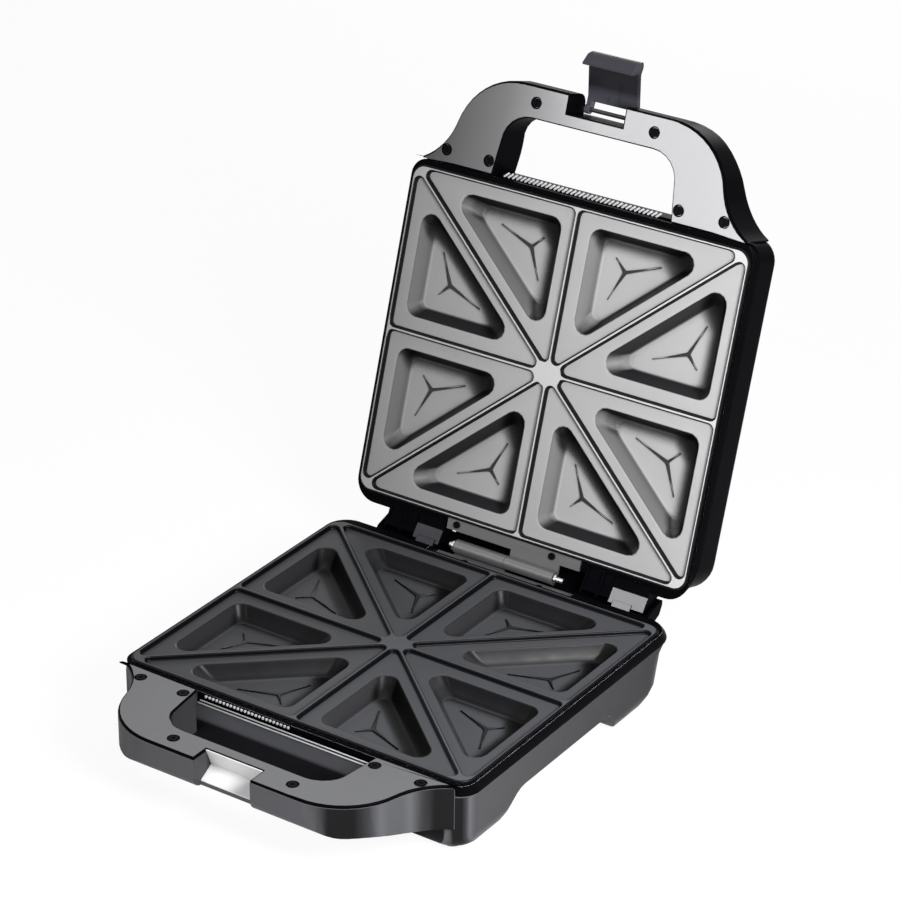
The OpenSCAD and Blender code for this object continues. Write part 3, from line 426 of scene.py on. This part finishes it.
def finish_piece(piece, finish, body, sharp=35.0):
    """Smooth shading, material and the body that the piece moves with."""
    pick(piece)
    bpy.ops.object.shade_smooth_by_angle(angle=math.radians(sharp))
    piece.data.materials.clear()
    piece.data.materials.append(finishes[finish])
    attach(piece, body)
    return piece


def faces_in(piece, finish, chosen):
    """The faces that answer a test take a second finish; the test also gets the mean width."""
    mesh = piece.data
    mesh.materials.append(finishes[finish])
    for face in mesh.polygons:
        ring = [mesh.vertices[v].co for v in face.vertices]
        round_trip = sum((a - b).length for a, b in zip(ring, ring[1:] + ring[:1]))
        if chosen(face, 2 * face.area / round_trip / MM):
            face.material_index = len(mesh.materials) - 1


def round_edges(piece, width, segments, chosen):
    """Rounds the sharp edges whose two ends answer a test."""
    pick(piece)
    bpy.ops.object.mode_set(mode="EDIT")
    bpy.context.tool_settings.mesh_select_mode = (False, True, False)
    bpy.ops.mesh.select_all(action="DESELECT")
    bpy.ops.mesh.edges_select_sharp(sharpness=math.radians(30))
    bpy.ops.object.mode_set(mode="OBJECT")
    mesh = piece.data
    kept = [e.index for e in mesh.edges
            if e.select and chosen(*(mesh.vertices[v].co for v in e.vertices))]
    for group in (mesh.vertices, mesh.edges, mesh.polygons):
        for item in group:
            item.select = False
    for index in kept:
        mesh.edges[index].select = True
        for v in mesh.edges[index].vertices:
            mesh.vertices[v].select = True
    bpy.ops.object.mode_set(mode="EDIT")
    bpy.ops.mesh.bevel(offset=width * MM, segments=segments, affect="EDGES", clamp_overlap=False)
    bpy.ops.object.mode_set(mode="OBJECT")
    bpy.context.tool_settings.mesh_select_mode = (True, False, False)


def softened(node, width, segments=2, chosen=None, weld=0.004):
    """The CAD piece again as a clean mesh with all its edges, or the chosen ones, rounded over.
    Points closer than weld become one."""
    piece = nodes[node].copy()
    piece.data = nodes[node].data.copy()
    piece.parent = None
    piece.matrix_world = Matrix.Identity(4)
    piece.name = piece.data.name = node + "_finished"
    bpy.context.collection.objects.link(piece)
    pick(piece)
    bpy.ops.object.mode_set(mode="EDIT")
    bpy.ops.mesh.select_all(action="SELECT")
    bpy.ops.mesh.remove_doubles(threshold=weld * MM)
    bpy.ops.mesh.dissolve_limited(angle_limit=math.radians(1.0))
    bpy.ops.object.mode_set(mode="OBJECT")
    if chosen:
        round_edges(piece, width, segments, chosen)
    else:
        apply_modifier(piece, "BEVEL", width=width * MM, segments=segments, limit_method="ANGLE",
                       angle_limit=math.radians(30), use_clamp_overlap=True, harden_normals=False)
    finish_piece(piece, slot_of[node], body_of[node])
    apply_modifier(piece, "WEIGHTED_NORMAL", keep_sharp=True, weight=50)
    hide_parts(node)
    return piece


def start_piece(name, kind, **settings):
    """A primitive at its size and place, alone in the selection."""
    bpy.ops.object.select_all(action="DESELECT")
    getattr(bpy.ops.mesh, kind)(**settings)
    piece = bpy.context.active_object
    piece.name = piece.data.name = name
    bpy.ops.object.transform_apply(location=True, rotation=True, scale=True)
    return piece


def put(piece, matrix):
    """Moves the mesh by a matrix and leaves the object at the origin."""
    piece.data.transform(matrix)
    if matrix.determinant() < 0:
        pick(piece)
        bpy.ops.object.mode_set(mode="EDIT")
        bpy.ops.mesh.select_all(action="SELECT")
        bpy.ops.mesh.normals_make_consistent(inside=False)
        bpy.ops.object.mode_set(mode="OBJECT")
    piece.data.update()


def copy_of(piece, name, matrix):
    twin = piece.copy()
    twin.data = piece.data.copy()
    twin.name = twin.data.name = name
    bpy.context.collection.objects.link(twin)
    put(twin, matrix)
    return twin


def join(pieces, name):
    bpy.ops.object.select_all(action="DESELECT")
    for piece in pieces:
        piece.select_set(True)
    bpy.context.view_layer.objects.active = pieces[0]
    bpy.ops.object.join()
    pieces[0].name = pieces[0].data.name = name
    return pieces[0]


def vertices_near(piece, spot, reach=0.02):
    """Selects the vertices that stand within reach of a spot in plan, in edit mode."""
    bpy.ops.object.mode_set(mode="EDIT")
    bpy.ops.mesh.select_all(action="DESELECT")
    bpy.ops.object.mode_set(mode="OBJECT")
    for vertex in piece.data.vertices:
        vertex.select = (vertex.co.xy / MM - Vector(spot)).length < reach
    bpy.ops.object.mode_set(mode="EDIT")


# ---------- tests for edges and faces ----------

def level_with(facing, point, depths):
    """Test for edges that lie at certain depths below a point."""
    def level(*ends):
        below = [(point - e).dot(facing) / MM for e in ends]
        return any(all(abs(d - depth) < 0.05 for d in below) for depth in depths)
    return level


def long_latch_edge(*ends):
    """Test for the edges that run across the latch on the outer side of its head and back."""
    a, b = [(latch_home @ e) / MM for e in ends]
    return abs(a.x - b.x) > 30 and max(a.y, b.y) < -1.5


def behind_opening(face, _):
    """Test for the faces of the lower housing that close the finger opening at the rear."""
    return face.normal.y < -0.7 and abs(face.center.x) < 0.076 and -0.162 < face.center.y < -0.140


def on_lobe(left, right):
    """Test for the faces that close the hinge side of the lid between two widths, without their ends."""
    def test(face, _):
        spot = (lid_home @ face.center) / MM
        return spot.y > 123.0 and abs(face.normal.x) < 0.5 and left < spot.x < right
    return test


# ---------- CAD pieces with their finishes ----------

finishes = make_finishes()
set_camera()

for name, node in nodes.items():
    node.data.materials.clear()
    node.data.materials.append(finishes[slot_of[name]])

# The wall behind the finger opening takes painted shade.
faces_in(softened("base_shell", 0.7, 3), "inner_wall_painted_shade", behind_opening)
lid_housing = softened("lid_shell", 0.7, 3)
# The lid's back takes a lighter copy of its plastic: painted light.
faces_in(lid_housing, "lid_back_painted_light", lambda face, _: face.normal.dot(lid_facing) < -0.5)
# The hinge lobes take a dim and a bright painted sheen.
faces_in(lid_housing, "lobe_dim_painted_sheen", on_lobe(-78.5, -56.5))
faces_in(lid_housing, "lobe_bright_painted_sheen", on_lobe(79.5, 107.5))
# Narrow rounded faces along the bezel edges take light grey: painted highlight lines.
for node, facing in (("base_bezel", BASE_FACING), ("lid_bezel", lid_facing)):
    faces_in(softened(node, 0.55), "edge_grey",
             lambda face, wide: wide < 0.5 and 0.3 < face.normal.dot(facing) < 0.97)
for node, facing, top in (("base_handle_cover", BASE_FACING, lower_top),
                          ("lid_handle_cover", lid_facing, upper_top)):
    faces_in(softened(node, 0.9, chosen=level_with(facing, top, (0.0,)), weld=0.25), "frame_black",
             lambda face, _: face.normal.dot(facing) < 0.97)
softened("hinge_guard", 0.5)
softened("guard_screws", 0.12)
softened("cord_gland", 0.3)
softened("lower_plate", 0.9, chosen=level_with(BASE_FACING, lower_top, (0.0, -LAND_Z)))
softened("upper_plate", 0.9, chosen=level_with(lid_facing, upper_top, (0.0, -LAND_Z)))
softened("catch_plate", 0.2)
softened("lower_hinge_leaf", 0.25)
softened("upper_hinge_leaf", 0.25)
softened("latch", 1.3, 4, chosen=long_latch_edge)
for screws in ("base_cover_screws", "lid_cover_screws", "upper_leaf_screws", "lower_leaf_screws"):
    softened(screws, 0.12)
softened("rubber_feet", 0.4)


# ---------- rays in the pocket floors ----------

# corners of the pocket openings in one quarter of the plate
RISE = HALF_D / HALF_W
ALONG = math.hypot(HALF_W, HALF_D) / HALF_W
WELL_EDGE, AXIS_GAP, DIAG_GAP = 12.0, 11.4, 9.0
side_pocket = [((AXIS_GAP + DIAG_GAP * ALONG) / RISE, AXIS_GAP), (HALF_W - WELL_EDGE, AXIS_GAP),
               (HALF_W - WELL_EDGE, (HALF_W - WELL_EDGE) * RISE - DIAG_GAP * ALONG)]
end_pocket = [(AXIS_GAP, AXIS_GAP * RISE + DIAG_GAP * ALONG),
              ((HALF_D - WELL_EDGE - DIAG_GAP * ALONG) / RISE, HALF_D - WELL_EDGE),
              (AXIS_GAP, HALF_D - WELL_EDGE)]


def pocket_mark(name, pocket):
    """Three tapered rays raised in a pocket floor: a six-sided plate pulled out at three corners."""
    hub, height, sunk, edge = 1.35, 1.35, 0.3, 0.25
    ray_share, ray_cut = 0.29, 1.6
    a, b, c = [Vector(p) for p in pocket]
    sides = (b - c).length, (c - a).length, (a - b).length
    middle = (a * sides[0] + b * sides[1] + c * sides[2]) / sum(sides)
    mark = start_piece(name, "primitive_cylinder_add", vertices=6, radius=hub * MM, depth=height * MM,
                       end_fill_type="NGON",
                       location=(middle.x * MM, middle.y * MM, (FLOOR_Z - sunk + height / 2) * MM))
    turns = [math.radians(60 * k) for k in range(6)]
    ring = [middle + hub * Vector((math.sin(t), math.cos(t))) for t in turns]
    goals = []
    for near, far in ((a, b), (b, c), (c, a)):
        u, w = (near - middle).normalized(), (far - middle).normalized()
        goals += [middle + u * ((near - middle).length * ray_share - ray_cut),
                  middle + (u + w).normalized() * hub]
    if (b - a).cross(c - a) > 0:
        goals.reverse()
    bearing = [math.degrees(math.atan2(g.x - middle.x, g.y - middle.y)) for g in goals]

    def twist(k):
        """How far the ring turns in all when its corners go to the goals from the k-th on."""
        return sum(abs((bearing[(i + k) % 6] - 60 * i + 180) % 360 - 180) for i in range(6))
    first = min(range(6), key=twist)
    for k, spot in enumerate(ring):
        vertices_near(mark, spot)
        goal = goals[(k + first) % 6]
        bpy.ops.transform.translate(value=((goal.x - spot.x) * MM, (goal.y - spot.y) * MM, 0))
    bpy.ops.object.mode_set(mode="OBJECT")
    apply_modifier(mark, "BEVEL", width=edge * MM, segments=2, limit_method="ANGLE",
                   angle_limit=math.radians(60))
    return mark


def plate_marks(name, place, body):
    """The rays of all eight pockets, mirrored from one quarter of the plate."""
    first = [pocket_mark(name + "_side", side_pocket), pocket_mark(name + "_end", end_pocket)]
    marks = []
    for n, (sx, sy) in enumerate(((1, 1), (-1, 1), (1, -1), (-1, -1))):
        marks += [copy_of(m, f"{name}_{n}", Matrix.Diagonal((sx, sy, 1, 1))) for m in first]
    for m in first:
        bpy.data.objects.remove(m)
    piece = join(marks, name)
    put(piece, place)
    finish_piece(piece, name, body, 20)


plate_marks("lower_marks", base_place, "base")
plate_marks("upper_marks", lid_flip, "lid")


# ---------- teeth and beads at the finger openings ----------

def vent_ribs(name, first, size, lean, count, pitch, place, body):
    """Row of fine teeth on the housing wall inside the finger opening, in light grey as painted
    highlights.
    """
    rib = start_piece(name, "primitive_cube_add", size=1.0, location=Vector(first) * MM,
                      scale=Vector(size) * MM)
    bpy.ops.object.mode_set(mode="EDIT")
    bpy.ops.mesh.select_all(action="SELECT")
    bpy.ops.transform.rotate(value=math.radians(lean), orient_axis="Z", center_override=Vector(first) * MM)
    bpy.ops.object.mode_set(mode="OBJECT")
    apply_modifier(rib, "BEVEL", width=0.3 * MM, segments=2, limit_method="ANGLE")
    apply_modifier(rib, "ARRAY", count=count, use_relative_offset=False, use_constant_offset=True,
                   constant_offset_displace=(pitch * MM, 0, 0))
    put(rib, place)
    finish_piece(rib, "edge_grey", body, 40)


def lip_bead(name, half, y, z, radius=0.45):
    """Round bead moulded along the rear edge of the lower finger opening, in light grey as a painted
    highlight line.
    """
    bead = start_piece(name, "primitive_cylinder_add", vertices=16, radius=radius * MM,
                       depth=2 * half * MM, end_fill_type="NGON", location=(0, y * MM, z * MM),
                       rotation=(0, math.radians(90), 0))
    apply_modifier(bead, "BEVEL", width=radius * 0.5 * MM, segments=2, limit_method="ANGLE",
                   angle_limit=math.radians(60))
    put(bead, base_place)
    finish_piece(bead, "edge_grey", "base", 60)


vent_ribs("base_vent_ribs", first=(-62.0, -121.0, -2.6), size=(1.5, 1.4, 1.5), lean=0,
          count=24, pitch=2.8, place=base_place, body="base")
vent_ribs("lid_vent_ribs", first=(-60.0, -122.4, -3.2), size=(1.3, 4.6, 1.6), lean=-48,
          count=37, pitch=3.3, place=lid_flip, body="lid")
lip_bead("base_lip_upper", 67, -120.9, -6.6)
lip_bead("base_lip_lower", 68.5, -121.4, -8.6)


# ---------- floor, background and light ----------

def set_world(ambient):
    """White to camera, glossy and transmission rays, and ambient light for the rest."""
    world = bpy.data.worlds.new("studio")
    bpy.context.scene.world = world
    world.use_nodes = True
    tree = world.node_tree
    background = tree.nodes["Background"]
    background.inputs["Color"].default_value = (1, 1, 1, 1)
    path = tree.nodes.new("ShaderNodeLightPath")
    seen = path.outputs["Is Camera Ray"]
    for ray in ("Is Transmission Ray", "Is Glossy Ray"):
        either = tree.nodes.new("ShaderNodeMath")
        either.operation = "MAXIMUM"
        tree.links.new(seen, either.inputs[0])
        tree.links.new(path.outputs[ray], either.inputs[1])
        seen = either.outputs[0]
    strength = tree.nodes.new("ShaderNodeMapRange")
    strength.inputs["To Min"].default_value = ambient
    strength.inputs["To Max"].default_value = 1.0
    tree.links.new(seen, strength.inputs["Value"])
    tree.links.new(strength.outputs["Result"], background.inputs["Strength"])


def set_floor(glow):
    """Pale paper that shows this share of pure white to the camera, so it meets the background."""
    bpy.ops.object.select_all(action="DESELECT")
    bpy.ops.mesh.primitive_plane_add(size=8.0, location=(0, 0, 0))
    floor = bpy.context.active_object
    floor.name = "floor"
    s = Shader("floor_paper", grey(0.82), 0.9)
    s.tone(s.noise(3), 0.01)
    path = s.add("ShaderNodeLightPath")
    lit = s.add("ShaderNodeEmission")
    lit.inputs["Color"].default_value = (1, 1, 1, 1)
    mix = s.add("ShaderNodeMixShader")
    s.link(s.range(path.outputs["Is Camera Ray"], 0.0, glow, 0.0, 1.0), mix.inputs["Fac"])
    s.link(s.surface.outputs["BSDF"], mix.inputs[1])
    s.link(lit.outputs["Emission"], mix.inputs[2])
    s.link(mix.outputs["Shader"], s.tree.nodes["Material Output"].inputs["Surface"])
    floor.data.materials.append(s.material)


def softbox(name, spot, aim, size, watts):
    data = bpy.data.lights.new(name, "AREA")
    data.shape = "RECTANGLE"
    data.size, data.size_y = size
    data.energy = watts
    lamp = bpy.data.objects.new(name, data)
    bpy.context.collection.objects.link(lamp)
    lamp.visible_camera = False
    turn = (Vector(aim) - Vector(spot)).to_track_quat("-Z", "Y").to_matrix().to_4x4()
    lamp.matrix_world = Matrix.Translation(Vector(spot)) @ turn


set_world(ambient=0.12)
set_floor(glow=0.93)
softbox("front", (-0.7, -2.3, 1.5), (0.0, 0.0, 0.08), (1.3, 1.0), 17)
softbox("key", (0.64, -0.32, 0.54), (0.02, 0.12, 0.20), (0.30, 0.30), 15)
softbox("overhead", (-0.2, 0.1, 2.3), (0, 0, 0), (1.6, 1.6), 14)
softbox("behind", (-0.6, 2.1, 0.8), (0.0, 0.15, 0.16), (1.2, 0.8), 16)

bpy.context.scene.view_settings.view_transform = "Standard"
